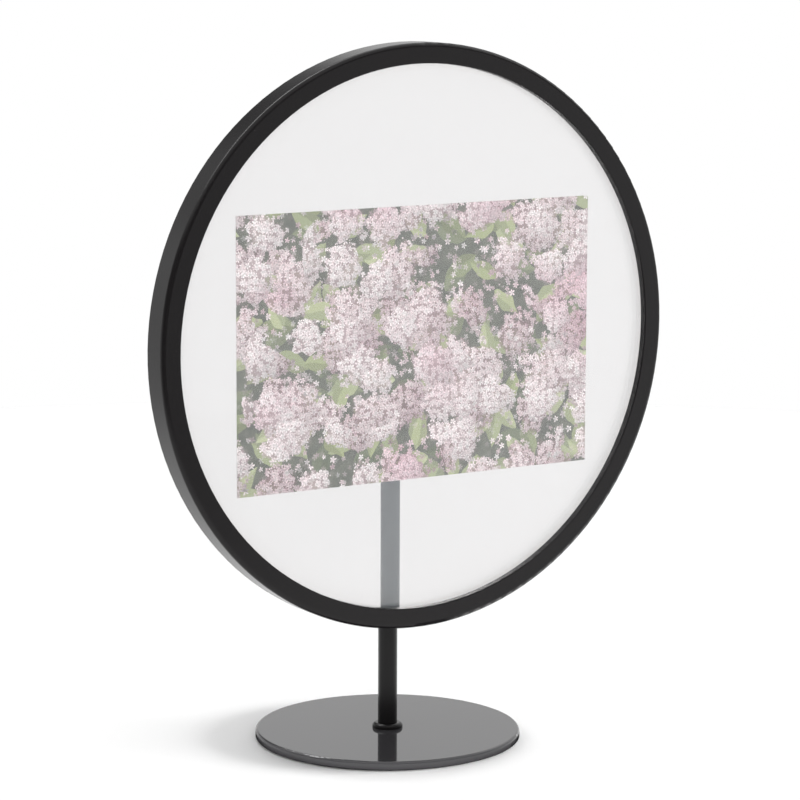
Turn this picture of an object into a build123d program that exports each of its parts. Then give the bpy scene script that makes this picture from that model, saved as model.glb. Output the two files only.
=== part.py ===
from build123d import *
import os

# A round photo frame on a slim stand. A black metal hoop holds two round glass panes with a
# landscape print pinched between them. A hub on the middle of the rear pane turns on the head
# of the stem, which stands on a thin round base.
#
# Millimetres, +Z up. The frame faces -Y and +X is to the right of someone who looks at it.
# The origin is the middle of the underside of the base, on the stem's axis.

# Print: the standard 4 by 6 inch size
print_width = 152.4
print_height = 101.6
print_thickness = 0.25
print_drop = 1.9  # how far the print lies below the middle of the hoop

# Panes
pane_thickness = 2.0
pane_edge_bevel = 0.3

# Hoop, measured on the whole ring
hoop_diameter = 216.8
hoop_depth = 11.2
hoop_face_width = 7.6
hoop_wall = 2.4
lip_thickness = 2.8
front_edge_radius = 1.6
hoop_small_radius = 0.4
pane_side_gap = 0.5  # between the rim of a pane and the wall of the hoop

# Gasket between the lip and the front pane
gasket_thickness = 0.3
gasket_setback = 0.5  # how far it stays behind the inner edge of the lip

# Split ring that holds the panes from behind
ring_thickness = 1.2
ring_width = 2.4
ring_bite = 0.8  # how deep it sits in the groove of the hoop
ring_groove_gap = 0.1
ring_end_gap = 14.0  # between the two ends of the ring

# Hub, bonded to the middle of the rear pane
bond_diameter = 36.0
bond_thickness = 0.8
hub_plate_diameter = 40.0
hub_plate_thickness = 2.5
hub_plate_edge_radius = 0.8
hub_boss_diameter = 14.0
hub_boss_length = 7.7
hub_root_radius = 2.0

# Pivot screw, its washers and its spring
thread_diameter = 4.0
thread_gap = 0.05  # all round a thread in its tapped hole
thread_length = 7.0
thread_runout = 1.0  # of a tapped hole past the end of its screw
shoulder_diameter = 5.0
pivot_running_gap = 0.05  # all round the shoulder in the bore of the stem's head
pivot_head_diameter = 10.0
pivot_head_height = 2.8
pivot_head_edge_radius = 0.6
pivot_key_width = 3.0
pivot_key_depth = 1.6
washer_diameter = 14.0
washer_thickness = 0.8
washer_bore_gap = 0.3  # all round the shoulder in a washer or the spring
spring_diameter = 11.0
spring_thickness = 0.4
spring_rise = 0.5  # of the dished spring as it is fitted

# Stem
ring_centre_height = 155.8
stem_diameter = 7.3
stem_end_bevel = 0.4
head_diameter = 16.0
head_length = 10.4
head_edge_radius = 0.8
neck_setback = 0.4  # of the neck inside the end faces of the head
neck_length = 4.0  # below the round part of the head
socket_gap = 0.05  # all round the stem in the socket of its head
socket_web = 1.2  # between the socket and the bore of the head

# Collar where the stem meets the base
collar_diameter = 11.5
collar_height = 2.0
collar_edge_radius = 1.3
collar_gap = 0.05  # all round the stem

# Base and what is under it
base_diameter = 100.5
base_thickness = 3.2
base_top_edge_radius = 1.0
base_bottom_edge_radius = 0.4
pad_setback = 2.0
pad_thickness = 0.6
base_screw_head_diameter = 7.6
base_screw_head_inset = 0.1  # how far the head lies inside the base
base_screw_hole_gap = 0.2
base_screw_reach = 8.5  # into the stem
base_screw_key_width = 2.5
base_screw_key_depth = 1.2

# Everything of the frame lies along its own axis, counted back from the front of the hoop
gasket_front = lip_thickness
front_pane_front = gasket_front + gasket_thickness
print_front = front_pane_front + pane_thickness
rear_pane_front = print_front + print_thickness
rear_pane_back = rear_pane_front + pane_thickness
hub_front = rear_pane_back + bond_thickness
boss_back = hub_front + hub_plate_thickness + hub_boss_length
head_front = boss_back + washer_thickness
head_back = head_front + head_length
spring_front = head_back + washer_thickness
screw_head_front = spring_front + spring_rise + spring_thickness

# The stem's axis runs through the middle of its head, so the hoop's front lies this far ahead
front_offset = head_front + head_length / 2
hoop_radius = hoop_diameter / 2
hoop_inner_radius = hoop_radius - hoop_face_width
wall_inner_radius = hoop_radius - hoop_wall
pane_radius = wall_inner_radius - pane_side_gap
bore_radius = shoulder_diameter / 2 + pivot_running_gap
tapped_radius = thread_diameter / 2 + thread_gap
plate_top = pad_thickness + base_thickness
socket_top = ring_centre_height - bore_radius - socket_web

# Local +Z runs back along the frame's axis, local X to the right and local Y down
frame_plane = Plane(
    origin=(0, -front_offset, ring_centre_height), x_dir=(1, 0, 0), z_dir=(0, 1, 0)
)


def rounded(profile, roundings):
    """Round corners of a flat outline, each named by its place and its radius."""
    for place, radius in roundings:
        corner = sorted(profile.vertices(), key=lambda v: (v.center() - Vector(*place)).length)[0]
        profile = fillet(corner, radius)
    return profile


def turned(points, roundings=()):
    """Turn an outline of (radius, height) points about the Z axis."""
    profile = make_face(Plane.XZ * Polyline(*points, close=True))
    places = [((radius, 0, height), size) for (radius, height), size in roundings]
    return revolve(rounded(profile, places), Axis.Z)


def disc(diameter, thickness, bottom=0.0):
    """A plain disc about the Z axis that starts at a height."""
    return Pos(0, 0, bottom) * Cylinder(
        diameter / 2, thickness, align=(Align.CENTER, Align.CENTER, Align.MIN)
    )


def hex_key(width, depth, mouth, direction):
    """The hollow for a hex key, from its mouth inwards along Z."""
    outline = RegularPolygon(width / 2, 6, major_radius=False)
    return Pos(0, 0, mouth) * extrude(outline, depth * direction)


def hoop():
    """The L-shaped ring: a lip in front of the glass, a thin wall round it, a groove inside."""
    groove_front = rear_pane_back
    groove_back = groove_front + ring_thickness + ring_groove_gap
    groove_radius = wall_inner_radius + ring_bite + ring_groove_gap
    lip_edge_radius = min(hoop_small_radius, lip_thickness / 3)
    return turned(
        [
            (hoop_inner_radius, 0),
            (hoop_radius, 0),
            (hoop_radius, hoop_depth),
            (wall_inner_radius, hoop_depth),
            (wall_inner_radius, groove_back),
            (groove_radius, groove_back),
            (groove_radius, groove_front),
            (wall_inner_radius, groove_front),
            (wall_inner_radius, lip_thickness),
            (hoop_inner_radius, lip_thickness),
        ],
        [
            ((hoop_inner_radius, 0), lip_edge_radius),
            ((hoop_radius, 0), front_edge_radius),
            ((hoop_radius, hoop_depth), hoop_small_radius),
            ((wall_inner_radius, hoop_depth), hoop_small_radius),
        ],
    )


def lip_gasket():
    """The flat gasket that keeps the glass off the lip."""
    outside = disc(2 * pane_radius, gasket_thickness, gasket_front)
    inside = disc(2 * (hoop_inner_radius + gasket_setback), gasket_thickness, gasket_front)
    return outside - inside


def pane(front):
    """A round pane with both rims bevelled."""
    glass = disc(2 * pane_radius, pane_thickness, front)
    return chamfer(glass.edges().filter_by(GeomType.CIRCLE), pane_edge_bevel)


def photo_print():
    """The landscape print, pinched between the panes."""
    sheet = Box(
        print_width,
        print_height,
        print_thickness,
        align=(Align.CENTER, Align.CENTER, Align.MIN),
    )
    return Pos(0, print_drop, print_front) * sheet


def retaining_ring():
    """The flat split ring in the groove, with its opening at the bottom."""
    outer_radius = wall_inner_radius + ring_bite
    ring = disc(2 * outer_radius, ring_thickness, rear_pane_back)
    ring -= disc(2 * (outer_radius - ring_width), ring_thickness, rear_pane_back)
    opening = Box(ring_end_gap, 2 * ring_width, 2 * ring_thickness)
    return ring - Pos(0, outer_radius - ring_width / 2, rear_pane_back) * opening


def hub_bond():
    """The bonding disc between the rear pane and the hub."""
    return disc(bond_diameter, bond_thickness, rear_pane_back)


def hub():
    """The hub: a plate on the glass and a tapped boss that points back."""
    plate_radius = hub_plate_diameter / 2
    boss_radius = hub_boss_diameter / 2
    plate_back = hub_front + hub_plate_thickness
    hole_front = boss_back - thread_length - thread_runout
    return turned(
        [
            (0, hub_front),
            (plate_radius, hub_front),
            (plate_radius, plate_back),
            (boss_radius, plate_back),
            (boss_radius, boss_back),
            (tapped_radius, boss_back),
            (tapped_radius, hole_front),
            (0, hole_front),
        ],
        [
            ((plate_radius, plate_back), hub_plate_edge_radius),
            ((boss_radius, plate_back), hub_root_radius),
        ],
    )


def washer(front):
    """A plain slip washer round the shoulder of the pivot screw."""
    bore = shoulder_diameter + 2 * washer_bore_gap
    return disc(washer_diameter, washer_thickness, front) - disc(bore, washer_thickness, front)


def disc_spring():
    """The dished spring that presses the washers together, so the frame stays where it is turned."""
    inside = shoulder_diameter / 2 + washer_bore_gap
    outside = spring_diameter / 2
    return turned(
        [
            (inside, spring_front + spring_rise),
            (outside, spring_front),
            (outside, spring_front + spring_thickness),
            (inside, screw_head_front),
        ]
    )


def pivot_screw():
    """The shoulder screw that the frame turns on, with a hex hollow in its head."""
    thread_radius = thread_diameter / 2
    shoulder_radius = shoulder_diameter / 2
    head_radius = pivot_head_diameter / 2
    head_end = screw_head_front + pivot_head_height
    screw = turned(
        [
            (0, boss_back - thread_length),
            (thread_radius, boss_back - thread_length),
            (thread_radius, boss_back),
            (shoulder_radius, boss_back),
            (shoulder_radius, screw_head_front),
            (head_radius, screw_head_front),
            (head_radius, head_end),
            (0, head_end),
        ],
        [((head_radius, head_end), pivot_head_edge_radius)],
    )
    return screw - hex_key(pivot_key_width, pivot_key_depth, head_end, -1)


def stem_head():
    """The head of the stem: a round eye for the pivot screw and a neck with the stem's socket."""
    eye = disc(head_diameter, head_length, head_front)
    eye = fillet(eye.edges().filter_by(GeomType.CIRCLE), head_edge_radius)
    neck_end = ring_centre_height - head_diameter / 2 - neck_length
    neck = disc(head_length - 2 * neck_setback, ring_centre_height - neck_end, neck_end)
    neck = fillet(neck.edges().group_by(Axis.Z)[0], head_edge_radius)
    socket = disc(stem_diameter + 2 * socket_gap, socket_top - neck_end, neck_end)
    bore = disc(2 * bore_radius, head_length, head_front)
    return frame_plane * eye + neck - socket - frame_plane * bore


def stem_rod():
    """The plain round stem, tapped at its foot."""
    radius = stem_diameter / 2
    hole_top = plate_top + base_screw_reach + thread_runout
    rod = turned(
        [
            (tapped_radius, plate_top),
            (radius, plate_top),
            (radius, socket_top),
            (0, socket_top),
            (0, hole_top),
            (tapped_radius, hole_top),
        ]
    )
    return chamfer(rod.edges().group_by(Axis.Z)[-1], stem_end_bevel)


def stem_collar():
    """The rounded collar that hides the joint of the stem and the base."""
    bore = stem_diameter / 2 + collar_gap
    radius = collar_diameter / 2
    top = plate_top + collar_height
    return turned(
        [(bore, plate_top), (radius, plate_top), (radius, top), (bore, top)],
        [((radius, top), min(collar_edge_radius, 0.65 * collar_height))],
    )


def base_screw_rise():
    """The height of the screw's cone, which widens as much as it is high."""
    return (base_screw_head_diameter - thread_diameter) / 2


def base_plate():
    """The thin round base with a countersunk hole in its middle."""
    radius = base_diameter / 2
    hole = thread_diameter / 2 + base_screw_hole_gap
    sink = base_screw_head_diameter / 2 + base_screw_hole_gap + base_screw_head_inset
    sink_height = sink - hole
    return turned(
        [
            (sink, pad_thickness),
            (radius, pad_thickness),
            (radius, plate_top),
            (hole, plate_top),
            (hole, pad_thickness + sink_height),
        ],
        [
            ((radius, plate_top), base_top_edge_radius),
            ((radius, pad_thickness), base_bottom_edge_radius),
        ],
    )


def base_screw():
    """The countersunk screw that pulls the stem down on the base."""
    head_radius = base_screw_head_diameter / 2
    thread_radius = thread_diameter / 2
    bottom = pad_thickness + base_screw_head_inset
    screw = turned(
        [
            (0, bottom),
            (head_radius, bottom),
            (thread_radius, bottom + base_screw_rise()),
            (thread_radius, plate_top + base_screw_reach),
            (0, plate_top + base_screw_reach),
        ]
    )
    return screw - hex_key(base_screw_key_width, base_screw_key_depth, bottom, 1)


def base_pad():
    """The soft pad under the base, a little smaller than the base."""
    return disc(base_diameter - 2 * pad_setback, pad_thickness)


pieces = {
    "hoop": frame_plane * hoop(),
    "lip_gasket": frame_plane * lip_gasket(),
    "front_pane": frame_plane * pane(front_pane_front),
    "photo_print": frame_plane * photo_print(),
    "rear_pane": frame_plane * pane(rear_pane_front),
    "retaining_ring": frame_plane * retaining_ring(),
    "hub_bond": frame_plane * hub_bond(),
    "hub": frame_plane * hub(),
    "front_slip_washer": frame_plane * washer(boss_back),
    "rear_slip_washer": frame_plane * washer(head_back),
    "disc_spring": frame_plane * disc_spring(),
    "pivot_screw": frame_plane * pivot_screw(),
    "stem_head": stem_head(),
    "stem_rod": stem_rod(),
    "stem_collar": stem_collar(),
    "base_plate": base_plate(),
    "base_screw": base_screw(),
    "base_pad": base_pad(),
}

os.makedirs("parts", exist_ok=True)
for name, piece in pieces.items():
    export_step(piece, f"parts/{name}.step")

print(f"front of the hoop {front_offset:.2f} mm ahead of the stem's axis")
print(f"{len(pieces)} pieces, {ring_centre_height + hoop_radius:.1f} mm high")
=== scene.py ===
# %% [markdown]
# # A round photo frame on a slim stand
#
# The frame is a black metal hoop with two glass panes in it. A landscape print is pinched
# between the panes and seems to float. Behind the print a hub joins the frame to a thin stem,
# which stands on a thin round base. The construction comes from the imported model, so this
# lesson is about looks: clear glass, satin and glossy black paint, a printed picture made
# of nodes alone, and a white studio.

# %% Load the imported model
import math

import bpy
from mathutils import Matrix, Vector


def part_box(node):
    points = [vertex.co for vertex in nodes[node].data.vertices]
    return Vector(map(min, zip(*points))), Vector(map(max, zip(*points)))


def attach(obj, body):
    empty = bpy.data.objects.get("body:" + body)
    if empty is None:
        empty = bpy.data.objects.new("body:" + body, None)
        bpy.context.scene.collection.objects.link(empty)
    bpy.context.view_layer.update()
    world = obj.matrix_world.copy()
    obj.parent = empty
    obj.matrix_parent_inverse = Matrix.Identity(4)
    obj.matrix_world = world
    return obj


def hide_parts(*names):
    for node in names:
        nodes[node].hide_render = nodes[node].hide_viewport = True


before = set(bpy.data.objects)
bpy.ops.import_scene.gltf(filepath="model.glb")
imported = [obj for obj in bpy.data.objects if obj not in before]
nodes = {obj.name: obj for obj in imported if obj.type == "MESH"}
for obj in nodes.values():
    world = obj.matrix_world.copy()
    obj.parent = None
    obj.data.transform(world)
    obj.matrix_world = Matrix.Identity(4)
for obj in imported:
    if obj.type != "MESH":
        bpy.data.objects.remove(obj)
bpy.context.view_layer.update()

MM = 0.001
print("pieces in the packed model:", len(nodes))

# %% [markdown]
# ## Sizes read from the model
#
# Every new piece has to sit where the construction puts it. We could type the places in
# again, but then a change of the model would leave the looks behind. So we ask the model:
# the corners of a piece give its place, and the vertex nearest to the hoop's axis gives
# the radius of an opening.


# %% Measure the hoop and its axis
def width_of(low, high):
    """The size from left to right of a piece with these lowest and highest corners."""
    return high.x - low.x


def distance_from_axis(place):
    """How far a point lies from the hoop's axis, which runs along Y."""
    return math.hypot(place[0] - hoop_middle.x, place[2] - hoop_middle.z)


def inner_radius(piece_name):
    """The radius of the hole in a ring around the hoop's axis."""
    return min(distance_from_axis(v.co) for v in nodes[piece_name].data.vertices)


hoop_low, hoop_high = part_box("hoop")
hoop_middle = Vector((0, hoop_low.y, (hoop_low.z + hoop_high.z) / 2))
hoop_width, opening = width_of(hoop_low, hoop_high), 2 * inner_radius("hoop")
print(f"hoop {hoop_width / MM:.2f} mm across, opening {opening / MM:.2f} mm across")

# %% [markdown]
# ## Small helpers for materials
#
# All finishes here are made of nodes. Adding a node, setting its sockets and wiring it
# takes three lines each time, which hides what a material does. A few helpers keep each
# finish short. They add a node, start and end a material, and make noise and bumps. Most
# return the wire that comes out, so that a finish reads like a recipe. Helpers for sums
# and mixes follow where a finish first needs them.


# %% Helpers that add nodes and start a material
def add_node(tree, kind, sockets=None, **settings):
    """Add a node. sockets maps a socket's name or number to a value or another node's output."""
    node = tree.nodes.new(kind)
    for name, value in settings.items():
        setattr(node, name, value)
    for key, value in (sockets or {}).items():
        if isinstance(value, bpy.types.NodeSocket):
            tree.links.new(value, node.inputs[key])
        else:
            node.inputs[key].default_value = value
    return node


def new_finish(name):
    """Start a material with only its output, and return it with its tree and that output."""
    finish = bpy.data.materials.new(name)
    finish.use_nodes = True
    tree = finish.node_tree
    tree.nodes.clear()
    return finish, tree, tree.nodes.new("ShaderNodeOutputMaterial")


def end_with(tree, output, shader):
    """Wire a shader to the material's output."""
    tree.links.new(shader.outputs[0], output.inputs["Surface"])


def object_place(tree):
    """The place of a point in its piece's own frame, in metres."""
    return add_node(tree, "ShaderNodeTexCoord").outputs["Object"]


# %% Helpers for spreads, noise and bumps
def spread_between(tree, level, low, high):
    """Spread a level of 0 to 1 between two values."""
    node = add_node(tree, "ShaderNodeMapRange", {"Value": level, "To Min": low, "To Max": high})
    return node.outputs[0]


def noise(tree, place, scale, detail):
    """Soft random blotches. The first output is a level, and the other one a colour."""
    sockets = {"Vector": place, "Scale": scale, "Detail": detail}
    return add_node(tree, "ShaderNodeTexNoise", sockets).outputs


def bump(tree, height, depth_mm):
    """Tilt the surface as if a height of 0 to 1 stood out by this many millimetres."""
    sockets = {"Height": height, "Strength": 1.0, "Distance": depth_mm * MM}
    return add_node(tree, "ShaderNodeBump", sockets).outputs[0]


# %% [markdown]
# ## Satin black paint
#
# The hoop, stem and hub are sprayed with black powder paint. Up close such paint has a
# very fine orange-peel skin, which spreads each highlight a little. We could give it a
# plain rough material, but then the highlight along the rounded edge is too clean. A
# fine noise drives the bump, and a wider noise changes the roughness a little.

# %% Make the black paints
WEAR_SCALE = 60.0
WEAR_SHARE = 0.12
PAINT_IOR = 1.5


def black_paint(name, colour, roughness, gloss, peel_mm, peel_height_mm):
    """Sprayed black paint with an orange-peel skin."""
    finish, tree, output = new_finish(name)
    place = object_place(tree)
    peel = noise(tree, place, 1 / (peel_mm * MM), detail=2.0)[0]
    wear = noise(tree, place, WEAR_SCALE, detail=3.0)[0]
    smooth, dull = roughness * (1 - WEAR_SHARE), roughness * (1 + WEAR_SHARE)
    paint = add_node(
        tree,
        "ShaderNodeBsdfPrincipled",
        {
            "Base Color": colour,
            "Roughness": spread_between(tree, wear, smooth, dull),
            "Normal": bump(tree, peel, peel_height_mm),
            "IOR": PAINT_IOR,
            "Specular IOR Level": gloss,
        },
    )
    end_with(tree, output, paint)
    return finish


orange_peel = {"roughness": 0.25, "peel_mm": 0.5, "peel_height_mm": 0.004}
hoop_black = (0.0072, 0.006, 0.0066, 1)
stem_black = (0.0066, 0.006, 0.0064, 1)
hoop_paint = black_paint("hoop_satin_black", hoop_black, gloss=0.3, **orange_peel)
stem_paint = black_paint("stem_satin_black", stem_black, gloss=0.26, **orange_peel)
print("paints:", hoop_paint.name, stem_paint.name)

# %% [markdown]
# ## Glossy black lacquer
#
# The base is lacquered smooth enough to mirror the stem. From a low view a dark gloss
# turns pale grey, because nearly level light is mirrored strongly. Nothing has to be
# painted for that: the shader's own Fresnel does it, if the lacquer is smooth and the
# room around it is bright. A trace of dust that changes the roughness, and a very shallow
# ripple, keep it from looking like black glass.

# %% Make the lacquer
LACQUER_BLACK = (0.071, 0.069, 0.074, 1)
DUST_SCALE = 45.0
CLEAN_ROUGHNESS, DUSTY_ROUGHNESS = 0.035, 0.075
RIPPLE_SCALE = 220.0
RIPPLE_HEIGHT_MM = 0.0015


def black_lacquer(name):
    """Smooth black lacquer with faint dust that only dulls the gloss."""
    finish, tree, output = new_finish(name)
    place = object_place(tree)
    dust = noise(tree, place, DUST_SCALE, detail=4.0)[0]
    ripple = noise(tree, place, RIPPLE_SCALE, detail=1.0)[0]
    lacquer = add_node(
        tree,
        "ShaderNodeBsdfPrincipled",
        {
            "Base Color": LACQUER_BLACK,
            "Roughness": spread_between(tree, dust, CLEAN_ROUGHNESS, DUSTY_ROUGHNESS),
            "Normal": bump(tree, ripple, RIPPLE_HEIGHT_MM),
            "IOR": PAINT_IOR,
        },
    )
    end_with(tree, output, lacquer)
    return finish


base_lacquer = black_lacquer("base_gloss_black")
print("lacquer:", base_lacquer.name)

# %% [markdown]
# ## Plain metal, rubber and nylon for the small pieces
#
# The screws are dark zinc, the dished spring is bare steel, the gasket and the pad are
# rubber, and the slip washers are nylon. They are small, but the back of the frame is open
# to view, so each has its own grain. One function makes them all from a few values.

# %% Make the finishes of the small pieces
DARKER_GRAIN, LIGHTER_GRAIN = 0.85, 1.15


def shade_of(colour, factor):
    """A colour made darker or lighter."""
    return (colour[0] * factor, colour[1] * factor, colour[2] * factor, 1)


def mix_colours(tree, share, a, b, blend="MIX"):
    """Mix two colours. share is a number or a wire."""
    sockets = {0: share, 6: a, 7: b}
    node = add_node(tree, "ShaderNodeMix", sockets, data_type="RGBA", blend_type=blend)
    return node.outputs[2]


def small_finish(name, colour, metallic, roughness, grain_mm, grain_height_mm):
    """A plain finish with a fine grain."""
    finish, tree, output = new_finish(name)
    grain = noise(tree, object_place(tree), 1 / (grain_mm * MM), detail=3.0)[0]
    darker, lighter = shade_of(colour, DARKER_GRAIN), shade_of(colour, LIGHTER_GRAIN)
    surface = add_node(
        tree,
        "ShaderNodeBsdfPrincipled",
        {
            "Base Color": mix_colours(tree, grain, darker, lighter),
            "Metallic": metallic,
            "Roughness": roughness,
            "Normal": bump(tree, grain, grain_height_mm),
        },
    )
    end_with(tree, output, surface)
    return finish


# Each line has the colour, metallic, roughness, and the grain's size and height in mm.
dark_zinc = small_finish("dark_zinc_screw", (0.10, 0.10, 0.105), 1.0, 0.38, 0.4, 0.004)
spring_steel = small_finish("bare_spring_steel", (0.55, 0.55, 0.56), 1.0, 0.3, 0.3, 0.003)
black_rubber = small_finish("black_rubber", (0.018, 0.018, 0.018), 0.0, 0.75, 0.3, 0.01)
black_nylon = small_finish("black_nylon", (0.03, 0.03, 0.031), 0.0, 0.5, 0.4, 0.004)
bond_grey = small_finish("bonding_disc", (0.08, 0.08, 0.08), 0.0, 0.6, 0.5, 0.01)
small_finishes = (dark_zinc, spring_steel, black_rubber, black_nylon, bond_grey)
print("small finishes:", [finish.name for finish in small_finishes])

# %% [markdown]
# ## Give the construction pieces their finishes
#
# The turned metal pieces already have their true shape and smooth normals, so they stay
# as they are and only change material. Rebuilding them would gain nothing.

# %% Assign the finishes
finish_of = {
    "hoop": hoop_paint,
    "retaining_ring": stem_paint,
    "hub": hoop_paint,
    "stem_head": stem_paint,
    "stem_rod": stem_paint,
    "stem_collar": stem_paint,
    "base_plate": base_lacquer,
    "base_pad": black_rubber,
    "base_screw": dark_zinc,
    "pivot_screw": dark_zinc,
    "disc_spring": spring_steel,
    "front_slip_washer": black_nylon,
    "rear_slip_washer": black_nylon,
    "hub_bond": bond_grey,
}
for piece_name, finish in finish_of.items():
    for material_slot in nodes[piece_name].material_slots:
        material_slot.material = finish
print("construction pieces finished:", len(finish_of))

# %% [markdown]
# ## A lathe for the round pieces
#
# The panes and the gasket have to be made again, a hair thinner than in the construction:
# there they touch face to face, and a renderer can't tell which of two faces in one plane
# comes first. A round piece is an outline turned about an axis. Blender has a Screw
# modifier for this, but a short loop gives quads that close exactly and needs no cleaning
# up. The outline is a list of (radius, depth) points, with depth counted back along Y. A
# point on the axis is one vertex, and triangles fan out from it, so that a disc has no
# pinhole in its middle.

# %% Write the lathe
LATHE_STEPS = 256
SHARP_EDGE_DEGREES = 35.0


def add_to_scene(name, places, faces):
    """Make an object of these vertices and faces."""
    mesh = bpy.data.meshes.new(name)
    mesh.from_pydata(places, [], faces)
    mesh.validate()
    piece = bpy.data.objects.new(name, mesh)
    bpy.context.scene.collection.objects.link(piece)
    return piece


def turned_ring(places, radius, y):
    """Add one outline point's circle of vertices, or a single vertex on the hoop's axis."""
    first = len(places)
    if radius == 0:
        places.append((hoop_middle.x, y, hoop_middle.z))
        return [first] * LATHE_STEPS
    for step in range(LATHE_STEPS):
        angle = math.tau * step / LATHE_STEPS
        x = hoop_middle.x + radius * math.cos(angle)
        z = hoop_middle.z + radius * math.sin(angle)
        places.append((x, y, z))
    return [first + step for step in range(LATHE_STEPS)]


def turn_piece(name, outline):
    """Turn a closed outline of (radius, y) points about the hoop's axis, with smooth shading."""
    places = []
    rings = [turned_ring(places, radius, y) for radius, y in outline]
    faces = []
    for ring, next_ring in zip(rings, rings[1:] + rings[:1]):
        for step in range(LATHE_STEPS):
            after = (step + 1) % LATHE_STEPS
            corners = (ring[step], next_ring[step], next_ring[after], ring[after])
            face = tuple(dict.fromkeys(corners))
            if len(face) > 2:
                faces.append(face)
    piece = add_to_scene(name, places, faces)
    for face in piece.data.polygons:
        face.use_smooth = True
    piece.data.set_sharp_from_angle(angle=math.radians(SHARP_EDGE_DEGREES))
    return piece


# %% [markdown]
# ## Glass panes
#
# Real glass is a closed solid that bends light at both faces, and the stem behind it
# shifts sideways a little because of that. So each pane is a closed disc and not a
# sheet. Its rim is ground to a small bevel. The outline runs from the middle of the front
# face out to the rim and back to the middle of the rear face.

# %% Build the panes
AIR_GAP = 0.02 * MM
RIM_BEVEL = 0.3 * MM


def glass_pane(name):
    """A glass disc in the place of a construction pane, a hair thinner at both faces."""
    low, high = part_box(name)
    radius = width_of(low, high) / 2
    front, back = low.y + AIR_GAP, high.y - AIR_GAP
    rings = [0, radius * 0.5, radius - RIM_BEVEL]
    outline = [(r, front) for r in rings]
    outline += [(radius, front + RIM_BEVEL), (radius, back - RIM_BEVEL)]
    outline += [(r, back) for r in reversed(rings)]
    pane = turn_piece(f"{name}_glass", outline)
    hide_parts(name)
    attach(pane, "frame")
    print(f"{name}: {2 * radius / MM:.1f} mm across, {(back - front) / MM:.2f} mm thick")
    return pane


front_glass = glass_pane("front_pane")
rear_glass = glass_pane("rear_pane")

# %% [markdown]
# ## Clear glass that lets the studio light through
#
# A path tracer finds light behind glass only by luck, so a print under glass would come
# out dark and noisy. The usual cure is to let light rays pass straight through, while the
# camera still sees true glass. The glass in the photograph also looks slightly milky:
# white seen through it is a little grey, and black turns grey. A small share of a pale
# diffuse film on each face gives that. The glass hardly mirrors anything there, so its
# specular level is low.

# %% Make the glass
GLASS_TINT = (0.986, 0.971, 0.966, 1)
GLASS_IOR = 1.5
GLASS_SPECULAR = 0.08
FILM_COLOUR = (0.60, 0.66, 0.70, 1)
FILM_SHARE = 0.074
LIGHT_LET_THROUGH = (0.98, 0.98, 0.98, 1)


def calculate(tree, operation, a, b=0.0, c=0.0, clamp=False):
    """One Math node, returned as its output, so that sums read from the inside out."""
    node = add_node(tree, "ShaderNodeMath", {0: a, 1: b, 2: c}, operation=operation)
    node.use_clamp = clamp
    return node.outputs[0]


def mix_shaders(tree, share, a, b):
    """Mix two shaders. share is a number or a wire."""
    return add_node(tree, "ShaderNodeMixShader", {0: share, 1: a.outputs[0], 2: b.outputs[0]})


def clear_glass(name):
    """Glass for the eye, a light tint for lamps, and a thin pale film on each face."""
    finish, tree, output = new_finish(name)
    body = add_node(
        tree,
        "ShaderNodeBsdfPrincipled",
        {
            "Base Color": GLASS_TINT,
            "Roughness": 0.0,
            "IOR": GLASS_IOR,
            "Specular IOR Level": GLASS_SPECULAR,
            "Transmission Weight": 1.0,
        },
    )
    film = add_node(tree, "ShaderNodeBsdfDiffuse", {"Color": FILM_COLOUR, "Roughness": 0.0})
    seen = mix_shaders(tree, FILM_SHARE, body, film)
    passing = add_node(tree, "ShaderNodeBsdfTransparent", {"Color": LIGHT_LET_THROUGH})
    path = add_node(tree, "ShaderNodeLightPath").outputs
    lamp_ray = calculate(tree, "MAXIMUM", path["Is Shadow Ray"], path["Is Diffuse Ray"])
    end_with(tree, output, mix_shaders(tree, lamp_ray, seen, passing))
    return finish


pane_glass = clear_glass("pane_glass")
for pane in (front_glass, rear_glass):
    pane.data.materials.append(pane_glass)
print("glass:", pane_glass.name)

# %% [markdown]
# ## Gasket behind the lip
#
# A thin rubber ring keeps the glass off the metal lip. Only its edge shows, through the
# glass. It could be left to the construction's own ring, but that one touches the glass.
# So it is turned on the same lathe, a hair thinner than its space.

# %% Build the gasket
gasket_low, gasket_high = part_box("lip_gasket")
gasket_inside = inner_radius("lip_gasket")
gasket_outside = width_of(gasket_low, gasket_high) / 2
gasket_front, gasket_back = gasket_low.y + AIR_GAP, gasket_high.y - AIR_GAP
gasket_outline = [
    (gasket_inside, gasket_front),
    (gasket_outside, gasket_front),
    (gasket_outside, gasket_back),
    (gasket_inside, gasket_back),
]
gasket = turn_piece("lip_gasket_rubber", gasket_outline)
gasket.data.materials.append(black_rubber)
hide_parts("lip_gasket")
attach(gasket, "frame")
print(f"gasket: {(gasket_outside - gasket_inside) / MM:.2f} mm wide")

# %% [markdown]
# ## The print
#
# The print is a sheet of photo paper. It is cut a hair thinner than the space between the
# panes. One box would do for a flat sheet, but here it is a grid with a thickness, so that
# a fold or a curl could be added later. Its picture comes in the next steps.

# %% Build the sheet
SHEET_COLUMNS, SHEET_ROWS = 24, 16


def grid_of_places(low, high, y):
    """The grid points of one face of the sheet, row by row."""
    places = []
    for row in range(SHEET_ROWS + 1):
        z = low.z + (high.z - low.z) * row / SHEET_ROWS
        for column in range(SHEET_COLUMNS + 1):
            x = low.x + (high.x - low.x) * column / SHEET_COLUMNS
            places.append((x, y, z))
    return places


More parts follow.
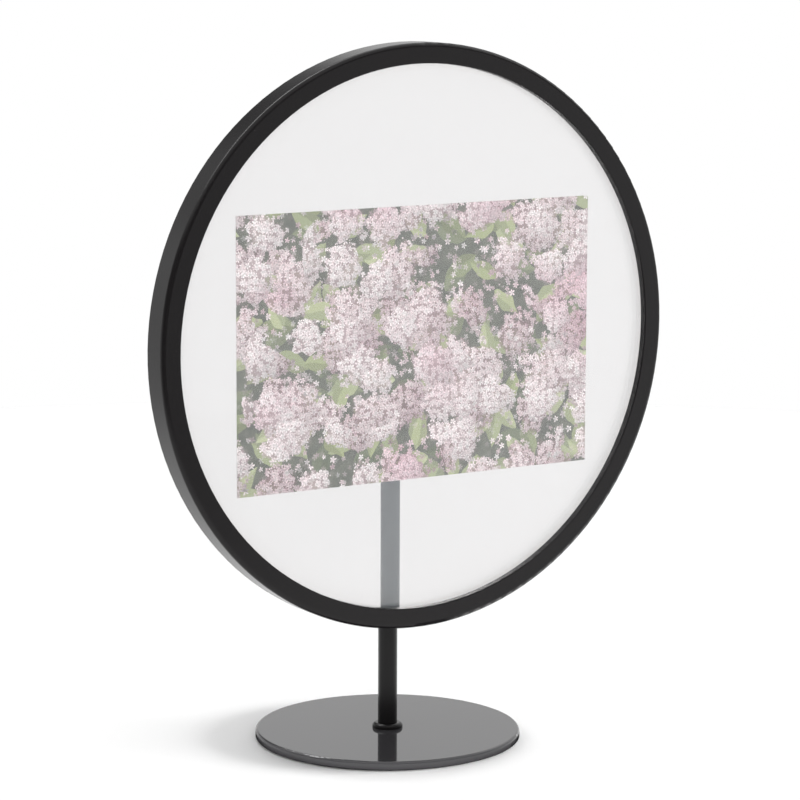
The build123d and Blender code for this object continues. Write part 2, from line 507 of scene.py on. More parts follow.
def paper_sheet(name, low, high):
    """A thin upright sheet with a front, a back and four edges."""
    front, back = low.y + AIR_GAP, high.y - AIR_GAP
    places = grid_of_places(low, high, front) + grid_of_places(low, high, back)
    width = SHEET_COLUMNS + 1
    side = width * (SHEET_ROWS + 1)
    faces = []
    for row in range(SHEET_ROWS):
        for column in range(SHEET_COLUMNS):
            a = row * width + column
            faces.append((a, a + 1, a + 1 + width, a + width))
            faces.append((side + a, side + a + width, side + a + 1 + width, side + a + 1))
    rim = list(range(SHEET_COLUMNS))
    rim += [SHEET_COLUMNS + row * width for row in range(SHEET_ROWS)]
    rim += [SHEET_ROWS * width + column for column in range(SHEET_COLUMNS, 0, -1)]
    rim += [row * width for row in range(SHEET_ROWS, 0, -1)]
    for a, b in zip(rim, rim[1:] + rim[:1]):
        faces.append((a, side + a, side + b, b))
    return add_to_scene(name, places, faces)


print_low, print_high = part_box("photo_print")
photo = paper_sheet("photo_print_sheet", print_low, print_high)
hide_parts("photo_print")
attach(photo, "frame")
print_width, print_height = width_of(print_low, print_high), print_high.z - print_low.z
print(f"print {print_width / MM:.1f} by {print_height / MM:.1f} mm")

# %% [markdown]
# ## A printed garden made of nodes
#
# The picture is a generic one: round heads of small blossoms over long leaves, in pale
# pinks and greens. It could be painted as an image, but nodes stay sharp at any distance
# and need no file. A Voronoi texture scatters middles over the sheet. The way from the
# nearest middle gives a petal, a leaf or a whole flower head its outline, and the random
# colour of each cell turns and tints it.


# %% Helpers for places on the sheet
NOISE_MEAN = (0.5, 0.5, 0.5)


def separate(tree, vector):
    """The three parts of a vector."""
    return add_node(tree, "ShaderNodeSeparateXYZ", {0: vector}).outputs


def add_vectors(tree, a, b):
    """The sum of two vectors."""
    return add_node(tree, "ShaderNodeVectorMath", {0: a, 1: b}, operation="ADD").outputs[0]


def take_vector(tree, a, b):
    """One vector less another."""
    return add_node(tree, "ShaderNodeVectorMath", {0: a, 1: b}, operation="SUBTRACT").outputs[0]


def scale_vector(tree, vector, factor):
    """A vector made longer or shorter."""
    sockets = {0: vector, "Scale": factor}
    return add_node(tree, "ShaderNodeVectorMath", sockets, operation="SCALE").outputs[0]


def length_of(tree, vector):
    """The length of a vector."""
    node = add_node(tree, "ShaderNodeVectorMath", {0: vector}, operation="LENGTH")
    return node.outputs["Value"]


def share_along(tree, vector, direction):
    """How much of a vector points along a direction."""
    sockets = {0: vector, 1: direction}
    node = add_node(tree, "ShaderNodeVectorMath", sockets, operation="DOT_PRODUCT")
    return node.outputs["Value"]


def place_in_mm(tree, shift):
    """The place on the sheet in millimetres, moved so that no two layers match."""
    axes = separate(tree, object_place(tree))
    flat = add_node(tree, "ShaderNodeCombineXYZ", {0: axes[0], 1: axes[2]}).outputs[0]
    return add_vectors(tree, scale_vector(tree, flat, 1 / MM), (*shift, 0))


def ripple_place(tree, place, size, depth):
    """Push a place about a little, so that outlines are not too perfect."""
    push = take_vector(tree, noise(tree, place, 1 / size, detail=1.0)["Color"], NOISE_MEAN)
    return add_vectors(tree, place, scale_vector(tree, push, depth))


def smooth_step(tree, value, low, high):
    """0 below low, 1 above high and a soft slope between, as a Map Range node."""
    node = add_node(
        tree,
        "ShaderNodeMapRange",
        {"Value": value, "From Min": low, "From Max": high},
        interpolation_type="SMOOTHSTEP",
    )
    return node.outputs["Result"]


def scattered_cells(tree, place, size, randomness):
    """Voronoi cells: the way from the nearest middle and the cell's random colour."""
    scale = calculate(tree, "DIVIDE", 1.0, size)
    cells = add_node(
        tree,
        "ShaderNodeTexVoronoi",
        {"Vector": place, "Scale": scale, "Randomness": randomness},
        voronoi_dimensions="2D",
    )
    away = take_vector(tree, place, cells.outputs["Position"])
    random = add_node(tree, "ShaderNodeSeparateColor", {"Color": cells.outputs["Color"]})
    return away, random.outputs


# %% [markdown]
# ## One layer of blossoms
#
# A blossom has five petals round a darker middle. Its outline is a circle whose radius
# swings with the angle: half the petal count times the angle, as a cosine without its
# sign, has five humps in a turn. We could draw every layer node by node, but a node group
# is written once and used many times, each time with another size and crowding.


# %% Helpers for a layer
def start_layer(name, size, crowding):
    """Start a node group that takes a place, a size and a crowding, and gives one layer."""
    tree = bpy.data.node_groups.new(name, "ShaderNodeTree")
    tree.interface.new_socket("Place", in_out="INPUT", socket_type="NodeSocketVector")
    for socket_name, value in (("Size", size), ("Crowding", crowding)):
        socket = tree.interface.new_socket(
            socket_name, in_out="INPUT", socket_type="NodeSocketFloat"
        )
        socket.default_value = value
    for socket_name in ("Cover", "Light", "Tint"):
        tree.interface.new_socket(socket_name, in_out="OUTPUT", socket_type="NodeSocketFloat")
    return tree, tree.nodes.new("NodeGroupInput").outputs


def end_layer(tree, cover, light, tint):
    """Wire a layer's cover, its light and dark and its random tint to the group's outputs."""
    out = tree.nodes.new("NodeGroupOutput")
    for name, wire in (("Cover", cover), ("Light", light), ("Tint", tint)):
        tree.links.new(wire, out.inputs[name])
    return tree


def add_layer(tree, group, sockets):
    """Use one of the node groups, and return its outputs."""
    return add_node(tree, "ShaderNodeGroup", sockets, node_tree=group).outputs


def only_some_cells(tree, cover, crowding, random, softness):
    """Keep the cover in cells whose random value lies below the crowding."""
    bare = calculate(tree, "SUBTRACT", random, softness)
    return calculate(tree, "MULTIPLY", cover, smooth_step(tree, crowding, bare, random))


# %% Group for one layer of blossoms
PETALS = 5
BLOSSOM_SCATTER = 0.62
BLOSSOM_SMALLEST, BLOSSOM_GROWTH = 0.36, 0.16
PETAL_WAIST = 0.2
PETAL_FADE_STARTS = 0.8
EYE_ENDS = 0.7
EYE_LIGHT, PETAL_LIGHT = 0.74, 1.04


def blossom_group():
    """A layer of five-petal blossoms, each with its own size and turn."""
    tree, given = start_layer("blossom_layer", size=5.0, crowding=0.5)
    away, random = scattered_cells(tree, given["Place"], given["Size"], BLOSSOM_SCATTER)
    axes = separate(tree, away)
    far = length_of(tree, away)
    turn = calculate(tree, "ARCTAN2", axes[1], axes[0])
    turn = calculate(tree, "MULTIPLY_ADD", random[0], math.tau, turn)
    wave = calculate(tree, "COSINE", calculate(tree, "MULTIPLY", turn, PETALS / 2))
    lobes = calculate(tree, "ABSOLUTE", wave)
    grown = calculate(tree, "MULTIPLY_ADD", random[1], BLOSSOM_GROWTH, BLOSSOM_SMALLEST)
    reach = calculate(tree, "MULTIPLY", given["Size"], grown)
    shape = calculate(tree, "MULTIPLY_ADD", lobes, 1 - PETAL_WAIST, PETAL_WAIST)
    edge = calculate(tree, "MULTIPLY", reach, shape)
    inside = calculate(tree, "DIVIDE", far, edge)
    cover = calculate(tree, "SUBTRACT", 1.0, smooth_step(tree, inside, PETAL_FADE_STARTS, 1.0))
    cover = only_some_cells(tree, cover, given["Crowding"], random[2], softness=0.08)
    cup = smooth_step(tree, calculate(tree, "DIVIDE", far, reach), 0.0, EYE_ENDS)
    light = calculate(tree, "MULTIPLY_ADD", cup, PETAL_LIGHT - EYE_LIGHT, EYE_LIGHT)
    return end_layer(tree, cover, light, random[1])


blossom_layer = blossom_group()
print("group:", blossom_layer.name)

# %% [markdown]
# ## One layer of leaves
#
# A leaf is long, widest below its middle and pointed at the tip, with a pale rib and fine
# veins. A stretched circle would be the quick way, but it has round ends. Here the width
# is worked out from the place along the leaf: one minus its square gives two points, and a
# lean to one side moves the belly towards the stalk.

# %% Group for one layer of leaves
LEAF_SCATTER = 0.7
LEAF_HALF_LENGTH = 0.46
LEAF_WIDTH = 0.48
LEAF_FADE_STARTS = 0.9
THINNEST_MM = 0.01
BELLY_LEAN = -0.25
SHADED_SIDE_LIGHT, SUNNY_SIDE_LIGHT = 0.7, 0.95
SIDE_EDGE_MM = 0.5
VEIN_RATE = 5.0
RIB_ENDS = 0.14
VEIN_LIGHT, RIB_LIGHT = 0.05, 0.12


def leaf_group():
    """A layer of pointed leaves with a mid rib, each turned its own way."""
    tree, given = start_layer("leaf_layer", size=14.0, crowding=0.8)
    away, random = scattered_cells(tree, given["Place"], given["Size"], LEAF_SCATTER)
    turned = add_node(
        tree,
        "ShaderNodeVectorRotate",
        {"Vector": away, "Angle": calculate(tree, "MULTIPLY", random[0], math.tau)},
        rotation_type="Z_AXIS",
    )
    axes = separate(tree, turned.outputs[0])
    half = calculate(tree, "MULTIPLY", given["Size"], LEAF_HALF_LENGTH)
    along = calculate(tree, "DIVIDE", axes[0], half)
    belly = calculate(tree, "SUBTRACT", 1.0, calculate(tree, "MULTIPLY", along, along))
    lean = calculate(tree, "MULTIPLY_ADD", along, BELLY_LEAN, 1.0)
    belly = calculate(tree, "MULTIPLY", belly, lean)
    width = calculate(tree, "MULTIPLY", calculate(tree, "MULTIPLY", belly, half), LEAF_WIDTH)
    across = calculate(tree, "ABSOLUTE", axes[1])
    inside = calculate(tree, "DIVIDE", across, calculate(tree, "MAXIMUM", width, THINNEST_MM))
    cover = calculate(tree, "SUBTRACT", 1.0, smooth_step(tree, inside, LEAF_FADE_STARTS, 1.0))
    cover = only_some_cells(tree, cover, given["Crowding"], random[2], softness=0.05)
    sunny = smooth_step(tree, axes[1], -SIDE_EDGE_MM, SIDE_EDGE_MM)
    gain = SUNNY_SIDE_LIGHT - SHADED_SIDE_LIGHT
    light = calculate(tree, "MULTIPLY_ADD", sunny, gain, SHADED_SIDE_LIGHT)
    slant = calculate(tree, "SUBTRACT", axes[0], across)
    veins = calculate(tree, "SINE", calculate(tree, "MULTIPLY", slant, VEIN_RATE))
    light = calculate(tree, "MULTIPLY_ADD", veins, VEIN_LIGHT, light)
    blade = smooth_step(tree, inside, 0.0, RIB_ENDS)
    light = calculate(tree, "ADD", light, RIB_LIGHT)
    light = calculate(tree, "MULTIPLY_ADD", blade, -RIB_LIGHT, light)
    return end_layer(tree, cover, light, random[1])


leaf_layer = leaf_group()
print("group:", leaf_layer.name)

# %% [markdown]
# ## Flower heads
#
# A flower head is a ball of blossoms. We can't build balls on a flat sheet, but shading
# makes one: each head is lighter at its upper left and darker at its edge. Four layers of
# blossoms cover it, the last of them the palest, and fine specks break up their light.
# Slow patches tint some heads more rosy than others. A slow noise also thins the heads
# out here and there, so that the leaves show.

# %% Shape the flower heads
HEAD_SCATTER = 0.8
HEAD_LIGHT_FROM = (-0.45, 0.75, 0)
HEAD_SLOPE_SHADE, HEAD_EDGE_SHADE = 0.55, -0.5
HEAD_SMALLEST, HEAD_GROWTH = 0.42, 0.16
HEAD_FULL_SHARE = 0.6
GROWTH_PATCH_MM = 38
GROWTH_SWING = 2.4
BARE_EDGES = (0.3, 0.36)


def head_shapes(tree, shift, size):
    """How much of a flower head is at each place, and its light and dark."""
    place = ripple_place(tree, place_in_mm(tree, shift), size=size * 0.35, depth=size * 0.5)
    place = ripple_place(tree, place, size=3.0, depth=4.0)
    away, random = scattered_cells(tree, place, size, HEAD_SCATTER)
    away = scale_vector(tree, away, 1 / size)
    far = length_of(tree, away)
    reach = calculate(tree, "MULTIPLY_ADD", random[1], HEAD_GROWTH, HEAD_SMALLEST)
    inner = calculate(tree, "MULTIPLY", reach, HEAD_FULL_SHARE)
    body = calculate(tree, "SUBTRACT", 1.0, smooth_step(tree, far, inner, reach))
    growth = noise(tree, place_in_mm(tree, shift), 1 / GROWTH_PATCH_MM, detail=0.0)[0]
    luck = calculate(tree, "SUBTRACT", random[2], GROWTH_SWING / 2)
    chance = calculate(tree, "MULTIPLY_ADD", growth, GROWTH_SWING, luck)
    body = calculate(tree, "MULTIPLY", body, smooth_step(tree, chance, *BARE_EDGES))
    slope = share_along(tree, away, HEAD_LIGHT_FROM)
    light = calculate(tree, "MULTIPLY_ADD", slope, HEAD_SLOPE_SHADE, 1.0)
    square = calculate(tree, "MULTIPLY", far, far)
    return body, calculate(tree, "MULTIPLY_ADD", square, HEAD_EDGE_SHADE, light)


# %% Lay flower heads over the picture
HEAD_BASE_COVER, HEAD_CROWDING = 0.85, 0.82
ROSY_PATCH_MM = 42
ROSY_EDGES = (0.5, 0.7)
ROSY_TINT = (0.88, 0.73, 0.79, 1)
WHITE = (1, 1, 1, 1)
SPECK_MM = 0.8
SPECK_DARKEST = 0.52
BLOSSOM_SIZES_MM = (3.3, 2.9, 3.1, 2.6)
TINT_SPREAD = 0.5
FIRST_PALE_SHARE, PALE_SHARE_STEP = 0.1, 0.16


def shade_colour(tree, colour, light):
    """Darken a colour by a light value."""
    grey = add_node(tree, "ShaderNodeCombineColor", {0: light, 1: light, 2: light})
    return mix_colours(tree, 1.0, colour, grey.outputs[0], blend="MULTIPLY")


def rosy_patches(tree):
    """A tint that is white in most places and rosy in slow patches."""
    slow = noise(tree, place_in_mm(tree, (60, 25)), 1 / ROSY_PATCH_MM, detail=1.0)[0]
    return mix_colours(tree, smooth_step(tree, slow, *ROSY_EDGES), WHITE, ROSY_TINT)


def layer_shift(shift, turn):
    """A shift of its own for each layer of blossoms. Any numbers do that are not alike."""
    return (shift[0] * 2.3 + 31 * turn, shift[1] * 1.7 + 17 * turn)


def flower_heads(tree, picture, shift, size, hollow, deep, pale):
    """Lay round heads of blossoms over the picture, each lit from the upper left."""
    body, light = head_shapes(tree, shift, size)
    rosy = rosy_patches(tree)
    shade = shade_colour(tree, mix_colours(tree, 1.0, rosy, hollow, blend="MULTIPLY"), light)
    thick = calculate(tree, "MULTIPLY", body, body)
    under = calculate(tree, "MULTIPLY", thick, HEAD_BASE_COVER)
    picture = mix_colours(tree, under, picture, shade)
    specks = noise(tree, place_in_mm(tree, shift), 1 / SPECK_MM, detail=1.0)[0]
    specks = calculate(tree, "ADD", specks, SPECK_DARKEST)
    speckled = calculate(tree, "MULTIPLY", light, specks)
    crowding = calculate(tree, "MULTIPLY", body, HEAD_CROWDING)
    for turn, blossom_size in enumerate(BLOSSOM_SIZES_MM):
        place = place_in_mm(tree, layer_shift(shift, turn))
        place = ripple_place(tree, place, size=1.3, depth=0.7)
        sockets = {"Place": place, "Crowding": crowding, "Size": blossom_size}
        layer = add_layer(tree, blossom_layer, sockets)
        paler = FIRST_PALE_SHARE + PALE_SHARE_STEP * turn
        share = calculate(tree, "MULTIPLY_ADD", layer["Tint"], TINT_SPREAD, paler)
        petal = mix_colours(tree, share, deep, pale)
        petal = mix_colours(tree, 1.0, petal, rosy, blend="MULTIPLY")
        petal = shade_colour(tree, petal, calculate(tree, "MULTIPLY", layer["Light"], speckled))
        picture = mix_colours(tree, layer["Cover"], picture, petal)
    return picture


# %% [markdown]
# ## Put the layers together
#
# The layers are laid one over another, the darkest first: shade between the leaves, three
# layers of leaves, then three layers of flower heads that get paler towards the front. A
# fine grain over everything stands for the print itself. The back and the edges of the
# sheet stay plain paper: the direction that a point faces tells the front from the rest.

# %% Make the print's finish
GROUND_DARK, GROUND_PALE = (0.02, 0.02, 0.015, 1), (0.22, 0.23, 0.17, 1)
GROUND_PATCH_MM = 7.0
GRAIN_MM = 0.9
GRAIN_SWING, GRAIN_DARKEST = 0.3, 0.88
PAPER_DARK, PAPER_PALE = (0.80, 0.80, 0.79, 1), (0.88, 0.88, 0.87, 1)
FIBRE_SCALE = 3.0
FRONT_EDGES = (0.4, 0.6)
PRINT_ROUGHNESS = 0.35

# Each kind of leaf has its shift and size in mm, and its dark and pale green.
LEAF_KINDS = (
    ((13, 40), 19.0, (0.15, 0.18, 0.10, 1), (0.31, 0.35, 0.20, 1)),
    ((71, 8), 17.0, (0.27, 0.31, 0.15, 1), (0.49, 0.54, 0.30, 1)),
    ((37, 93), 15.0, (0.38, 0.43, 0.19, 1), (0.66, 0.71, 0.42, 1)),
)
# Each kind of head has its shift and size in mm, and its hollow, deep and pale pink.
HEAD_KINDS = (
    ((5, 5), 21.0, (0.27, 0.17, 0.18, 1), (0.52, 0.33, 0.37, 1), (0.81, 0.69, 0.71, 1)),
    ((88, 31), 26.0, (0.40, 0.28, 0.29, 1), (0.70, 0.51, 0.55, 1), (0.93, 0.84, 0.85, 1)),
    ((19, 77), 18.0, (0.52, 0.40, 0.41, 1), (0.85, 0.69, 0.72, 1), (0.97, 0.92, 0.92, 1)),
)


def garden_picture(tree):
    """All layers of the picture, as one colour."""
    ground = noise(tree, place_in_mm(tree, (0, 0)), 1 / GROUND_PATCH_MM, detail=4.0)[0]
    picture = mix_colours(tree, ground, GROUND_DARK, GROUND_PALE)
    for shift, size, dark, pale in LEAF_KINDS:
        place = ripple_place(tree, place_in_mm(tree, shift), size=5.0, depth=2.4)
        layer = add_layer(tree, leaf_layer, {"Place": place, "Size": size})
        leaf = mix_colours(tree, layer["Tint"], dark, pale)
        leaf = shade_colour(tree, leaf, layer["Light"])
        picture = mix_colours(tree, layer["Cover"], picture, leaf)
    for shift, size, hollow, deep, pale in HEAD_KINDS:
        picture = flower_heads(tree, picture, shift, size, hollow, deep, pale)
    grain = noise(tree, place_in_mm(tree, (3, 3)), 1 / GRAIN_MM, detail=3.0)[0]
    grain = calculate(tree, "MULTIPLY_ADD", grain, GRAIN_SWING, GRAIN_DARKEST)
    return shade_colour(tree, picture, grain)


def printed_paper(name):
    """Photo paper: the picture on the front, white paper on the back and the edges."""
    finish, tree, output = new_finish(name)
    picture = garden_picture(tree)
    facing = add_node(tree, "ShaderNodeTexCoord").outputs["Normal"]
    forward = calculate(tree, "MULTIPLY", separate(tree, facing)[1], -1.0)
    front = smooth_step(tree, forward, *FRONT_EDGES)
    fibres = noise(tree, place_in_mm(tree, (0, 0)), FIBRE_SCALE, detail=3.0)[0]
    paper = mix_colours(tree, fibres, PAPER_DARK, PAPER_PALE)
    colour = mix_colours(tree, front, paper, picture)
    sockets = {"Base Color": colour, "Roughness": PRINT_ROUGHNESS}
    end_with(tree, output, add_node(tree, "ShaderNodeBsdfPrincipled", sockets))
    return finish


garden_print = printed_paper("printed_garden")
photo.data.materials.append(garden_print)
print(f"{garden_print.name}: {len(garden_print.node_tree.nodes)} nodes")

# %% [markdown]
# ## The white floor
#
# The photograph is taken in a studio that is white all over, and the floor still shows a
# soft shadow. We could light the floor until it clips, but that light would fall on the
# object too. Instead Light Path tells one kind of ray from another. The camera sees plain
# white paint with its shadow. Glass sees plain white. Gloss sees a painted glow whose level
# follows the direction, a painted reflection, because black paint shows what it mirrors more
# than its own colour. Next to the base it sees a painted dark line of contact shade. The
# floor is a wide round table top.

# %% Floor
AWAY_FROM_VIEWER = (0.531, 0.847, 0.0)
TABLE_RADIUS = 0.8
TABLE_CORNERS = 96
FLOOR_WHITE = (0.86, 0.86, 0.86, 1)
NEAR_FLOOR_ENDS, LOW_ROOM_STARTS = 0.2, 0.6
# Where the painted contact shade that gloss sees next to the base starts and ends.
PAINTED_SHADE_STARTS, PAINTED_SHADE_ENDS = 1.5 * MM, 8.5 * MM

# Each stop is a depth and the level that gloss sees there. A depth of -1 is behind the
# viewer, 0 is at the sides and 1 is beyond the object.
NEAR_FLOOR = ((-1, 1.1), (0.1, 1.1), (0.5, 1.35), (1, 1.4))
LOW_ROOM = (
    (-1, 0.15),
    (-0.6, 0.4),
    (-0.52, 0.5),
    (-0.36, 1.15),
    (0.0, 1.1),
    (0.44, 0.82),
    (1, 1.0),
)
floor_rim = []
for corner in range(TABLE_CORNERS):
    turn = math.tau * corner / TABLE_CORNERS
    floor_rim.append((TABLE_RADIUS * math.cos(turn), TABLE_RADIUS * math.sin(turn), 0))
floor = add_to_scene("floor", floor_rim, [range(TABLE_CORNERS)])
print(f"floor: {2 * TABLE_RADIUS:.1f} m across")


# %% Paint the floor
def mix_levels(tree, share, a, b):
    """Mix two levels. share is a number or a wire."""
    return add_node(tree, "ShaderNodeMix", {0: share, 2: a, 3: b}).outputs[0]


def level_ramp(tree, depth, stops):
    """The level for a depth, with a straight slope from each stop to the next."""
    share = calculate(tree, "MULTIPLY_ADD", depth, 0.5, 0.5)
    ramp = add_node(tree, "ShaderNodeValToRGB", {0: share})
    elements = ramp.color_ramp.elements
    while len(elements) < len(stops):
        elements.new(0.5)
    for element, (place, level) in zip(elements, stops):
        element.position = (place + 1) / 2
        element.color = (level, level, level, 1)
    return ramp.outputs[0]


def floor_level(tree):
    """The painted glow that gloss sees at each place of the floor, with a painted contact shade
    next to the base.
    """
    place = object_place(tree)
    reach = length_of(tree, place)
    away = add_node(tree, "ShaderNodeVectorMath", {0: place}, operation="NORMALIZE").outputs[0]
    depth = share_along(tree, away, AWAY_FROM_VIEWER)
    far = smooth_step(tree, reach, NEAR_FLOOR_ENDS, LOW_ROOM_STARTS)
    near_floor = level_ramp(tree, depth, NEAR_FLOOR)
    low_room = level_ramp(tree, depth, LOW_ROOM)
    level = mix_levels(tree, far, near_floor, low_room)
    # Next to the base the glow falls to black: a painted contact shade that only reflections
    # see.
    base_radius = width_of(*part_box("base_plate")) / 2
    painted_shade_inside, painted_shade_outside = base_radius + PAINTED_SHADE_STARTS, base_radius + PAINTED_SHADE_ENDS
    beyond_painted_shade = smooth_step(tree, reach, painted_shade_inside, painted_shade_outside)
    return mix_levels(tree, beyond_painted_shade, 0.0, level)


def floor_finish():
    """White that keeps the shadow, with a plain white for glass and the painted glow of
    floor_level for gloss.
    """
    finish, tree, output = new_finish("white_floor")
    path = add_node(tree, "ShaderNodeLightPath").outputs
    diffuse = add_node(tree, "ShaderNodeBsdfDiffuse", {"Color": FLOOR_WHITE})
    plain = add_node(tree, "ShaderNodeEmission", {"Color": WHITE, "Strength": 1.0})
    seen = mix_shaders(tree, path["Is Transmission Ray"], diffuse, plain)
    level = floor_level(tree)
    # Gloss sees the floor as a painted glow at this level, not as lit paint.
    mirrored = add_node(tree, "ShaderNodeEmission", {"Color": WHITE, "Strength": level})
    # A ray that has passed through glass counts as glossy too, so it is taken out.
    mirror_ray = calculate(
        tree, "SUBTRACT", path["Is Glossy Ray"], path["Is Transmission Ray"], clamp=True
    )
    end_with(tree, output, mix_shaders(tree, mirror_ray, seen, mirrored))
    return finish


floor_white = floor_finish()
floor.data.materials.append(floor_white)
print("floor finish:", floor_white.name)

# %% [markdown]
# ## The white room
#
# The world is the room around the table. The camera and the glass see it as plain white.
# Its diffuse light is much weaker, so that black paint stays black, and a little stronger
# from the viewer's side. For gloss the room runs from dim behind the viewer to white beyond
# the object, with a bright ceiling. A real studio isn't even: two dimmer patches up beyond
# the object give the hoop's wall its dark stretch at the upper left. A picture of a studio
# wrapped round the scene would do too, but its patches can't be moved one by one.

# %% Room
ROOM_LIGHT = 0.35
VIEWER_SIDE_LIGHT = 0.8
BELOW_TABLE_LIGHT = 1.0
TABLE_LEVEL = (-0.02, 0.0)
HIGH_ROOM = ((-1, 0.15), (0, 0.3), (0.4, 0.88), (1, 1.0))
CEILING = ((-1, 1.0), (0, 1.0), (0.3, 1.6), (1, 1.6))
LOW_ROOM_ENDS, HIGH_ROOM_STARTS = -0.02, 0.12
HIGH_ROOM_ENDS, CEILING_STARTS = 0.35, 0.6
DARK_GAP = (0.13, 0.857, 0.498)
DARK_GAP_EDGES = (0.93, 0.996)
DARK_GAP_LEVEL = 0.2
DIM_GAP = (-0.23, 0.836, 0.498)
DIM_GAP_EDGES = (0.935, 0.995)
DIM_GAP_SHARE = 0.5


def mirrored_room(tree, direction, height, depth):
    """The level that gloss sees in each direction of the room."""
    ceiling = smooth_step(tree, height, HIGH_ROOM_ENDS, CEILING_STARTS)
    high_room = level_ramp(tree, depth, HIGH_ROOM)
    high = mix_levels(tree, ceiling, high_room, level_ramp(tree, depth, CEILING))
    dark = smooth_step(tree, share_along(tree, direction, DARK_GAP), *DARK_GAP_EDGES)
    high = mix_levels(tree, dark, high, DARK_GAP_LEVEL)
    dim = smooth_step(tree, share_along(tree, direction, DIM_GAP), *DIM_GAP_EDGES)
    dimmed = calculate(tree, "MULTIPLY_ADD", dim, -DIM_GAP_SHARE, 1.0)
    high = calculate(tree, "MULTIPLY", high, dimmed)
    rise = smooth_step(tree, height, LOW_ROOM_ENDS, HIGH_ROOM_STARTS)
    return mix_levels(tree, rise, level_ramp(tree, depth, LOW_ROOM), high)


def diffuse_room(tree, height, depth):
    """The level of the room's soft light, which leans towards the viewer's side."""
    soft = calculate(tree, "MULTIPLY_ADD", depth, -VIEWER_SIDE_LIGHT * ROOM_LIGHT, ROOM_LIGHT)
    above = smooth_step(tree, height, *TABLE_LEVEL)
    return mix_levels(tree, above, BELOW_TABLE_LIGHT, soft)


def white_room():
    """The world: white to the eye, softer for diffuse light, uneven for reflections."""
    world = bpy.data.worlds.new("white_room")
    bpy.context.scene.world = world
    world.use_nodes = True
    tree = world.node_tree
    tree.nodes.clear()
    path = add_node(tree, "ShaderNodeLightPath").outputs
    direction = add_node(tree, "ShaderNodeTexCoord").outputs["Generated"]
    height = separate(tree, direction)[2]
    depth = share_along(tree, direction, AWAY_FROM_VIEWER)
    mirrored = mirrored_room(tree, direction, height, depth)
    soft = diffuse_room(tree, height, depth)
    strength = mix_levels(tree, path["Is Glossy Ray"], soft, mirrored)
    direct = calculate(tree, "MAXIMUM", path["Is Camera Ray"], path["Is Transmission Ray"])
    strength = mix_levels(tree, direct, strength, 1.0)
    light = add_node(tree, "ShaderNodeBackground", {"Color": WHITE, "Strength": strength})
    end_with(tree, tree.nodes.new("ShaderNodeOutputWorld"), light)
    return world


print("room:", white_room().name)

# %% [markdown]
# ## Lamps for the floor
#
# The photograph's shadow lies to the left of the base and is very soft, and the floor is
# white all over. One large lamp could throw that shadow, but it would also bleach the black
# paint. So the floor has lamps of its own, through light linking: a row of wide, low suns
# from the right lays the shadow, and weaker rows from behind and from the left keep it pale.
# A sun lights the floor evenly, and a wide angle makes its shadow soft.


# %% Place the floor's lamps
SUN_DISTANCE = 2


def wide_sun(name, towards, angle, irradiance):
    """A sun lamp that shines from the given direction and shows in no reflection."""
    lamp = bpy.data.lights.new(name, "SUN")
    lamp.angle = math.radians(angle)
    lamp.energy = irradiance
    sun = bpy.data.objects.new(name, lamp)
    bpy.context.scene.collection.objects.link(sun)
    sun.location = Vector(towards).normalized() * SUN_DISTANCE
    sun.rotation_euler = Vector(towards).to_track_quat("Z", "Y").to_euler()
    sun.visible_glossy = False
    return sun


def floor_light(name, turn, height, spread, count, angle, irradiance):
    """A row of wide suns that light the floor alone. Angles are in degrees."""
    for place in range(count):
        heading = math.radians(turn + spread * (place - (count - 1) / 2))
        rise = math.tan(math.radians(height))
        towards = (math.cos(heading), math.sin(heading), rise)
        sun = wide_sun(f"{name}_{place}", towards, angle, irradiance / count)
        sun.light_linking.receiver_collection = floor_only
    print(f"{name}: {count} suns, {irradiance} in all")


floor_only = bpy.data.collections.new("floor_only")
floor_only.objects.link(floor)
# Each line has the turn, height, spread, count and angle of the suns, and their light in all.
floor_light("side_light", -32.1, 7.5, 7.0, 5, 11.0, 9.8)
floor_light("back_light", 57.9, 15.0, 24.0, 4, 18.0, 2.6)
floor_light("left_light", 147.9, 30.0, 30.0, 3, 40.0, 0.5)

# %% [markdown]
# ## Lamps for the object
#
# A wide sun in front lights the print and the paint, and another one behind lights the back
# of the print and the hub. Both are weak, so that colours come out as they are written. A
# long soft box overhead draws the thin bright line along the hoop's rounded edge. That line
# could be painted on, but then it wouldn't move when the view changes.


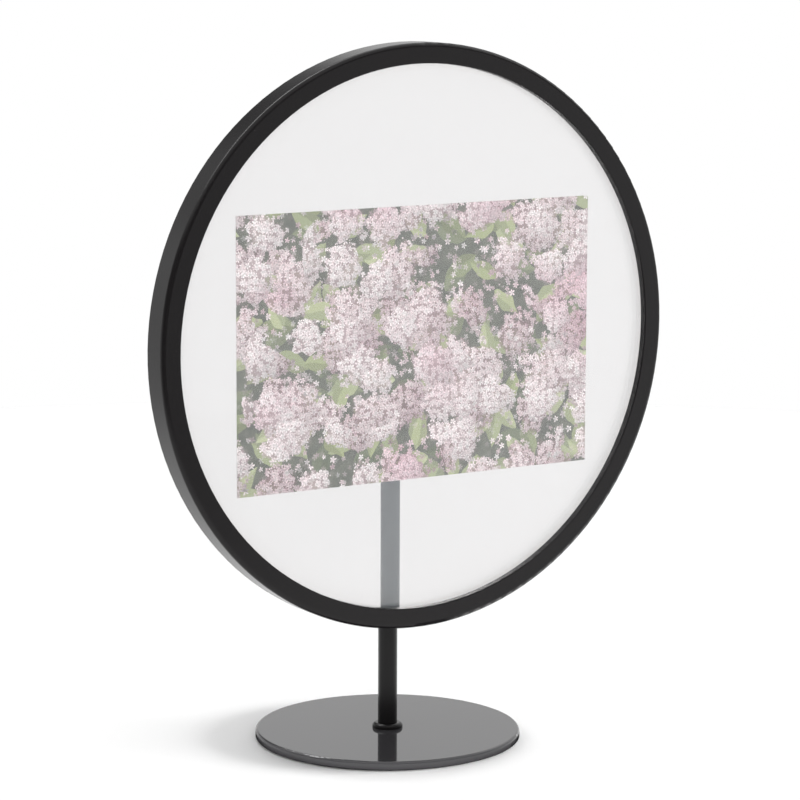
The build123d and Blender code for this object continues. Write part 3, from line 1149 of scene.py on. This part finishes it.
# %% Place the object's lamps
def strip_box(name, towards, along, distance, size, level):
    """A long soft box at a distance from the hoop's middle, its long side along a direction."""
    lamp = bpy.data.lights.new(name, "AREA")
    lamp.shape = "RECTANGLE"
    lamp.size, lamp.size_y = size
    lamp.energy = level * math.pi * lamp.size * lamp.size_y
    box = bpy.data.objects.new(name, lamp)
    bpy.context.scene.collection.objects.link(box)
    back = Vector(towards).normalized()
    side = (Vector(along) - back * back.dot(Vector(along))).normalized()
    turn = Matrix((side, back.cross(side), back)).transposed().to_4x4()
    box.matrix_world = Matrix.Translation(hoop_middle + back * distance) @ turn
    box.visible_diffuse = False
    return box


front = wide_sun("front_light", towards=(-0.4, -0.87, 0.3), angle=30.0, irradiance=1.0)
rear = wide_sun("rear_light", towards=(0.45, 0.83, 0.35), angle=40.0, irradiance=0.8)
overhead = strip_box(
    "overhead_strip",
    towards=(-0.3, 0.42, 0.857),
    along=(0.97, 0.14, 0.21),
    distance=1.6,
    size=(1.4, 0.25),
    level=8.5,
)
print("lamps for the object:", front.name, rear.name, overhead.name)

# %% [markdown]
# ## Camera
#
# The camera stands where the photographer's did: the edges of the hoop, the stem and the
# base were fitted to find its place, its tilt and its lens. It looks from the left and
# a little from above through a long lens, so the ellipses stay nearly true. A camera that
# is aimed by eye would be quicker, but then the edges never meet the photograph's.

# %% Place the camera
CAMERA_PLACE = (-628.6 * MM, -1010.4 * MM, 321.6 * MM)
CAMERA_TURN, CAMERA_DIP, CAMERA_ROLL = -32.097, 9.157, 0.194
SENSOR_WIDTH_MM = 36.0
LENS_MM = 144.70
camera_data = bpy.data.cameras.new("camera")
camera_data.sensor_width = SENSOR_WIDTH_MM
camera_data.lens = LENS_MM
camera = bpy.data.objects.new("camera", camera_data)
bpy.context.scene.collection.objects.link(camera)
camera.matrix_world = (
    Matrix.Translation(CAMERA_PLACE)
    @ Matrix.Rotation(math.radians(CAMERA_TURN), 4, "Z")
    @ Matrix.Rotation(math.radians(90 - CAMERA_DIP), 4, "X")
    @ Matrix.Rotation(math.radians(CAMERA_ROLL), 4, "Z")
)
bpy.context.scene.camera = camera
bpy.context.scene.view_settings.view_transform = "Standard"
print(f"camera: {(Vector(CAMERA_PLACE) - hoop_middle).length:.2f} m from the hoop's middle")

# %% [markdown]
# ## Last step
#
# The scene is built, and the last cell says so.


print("scene built")
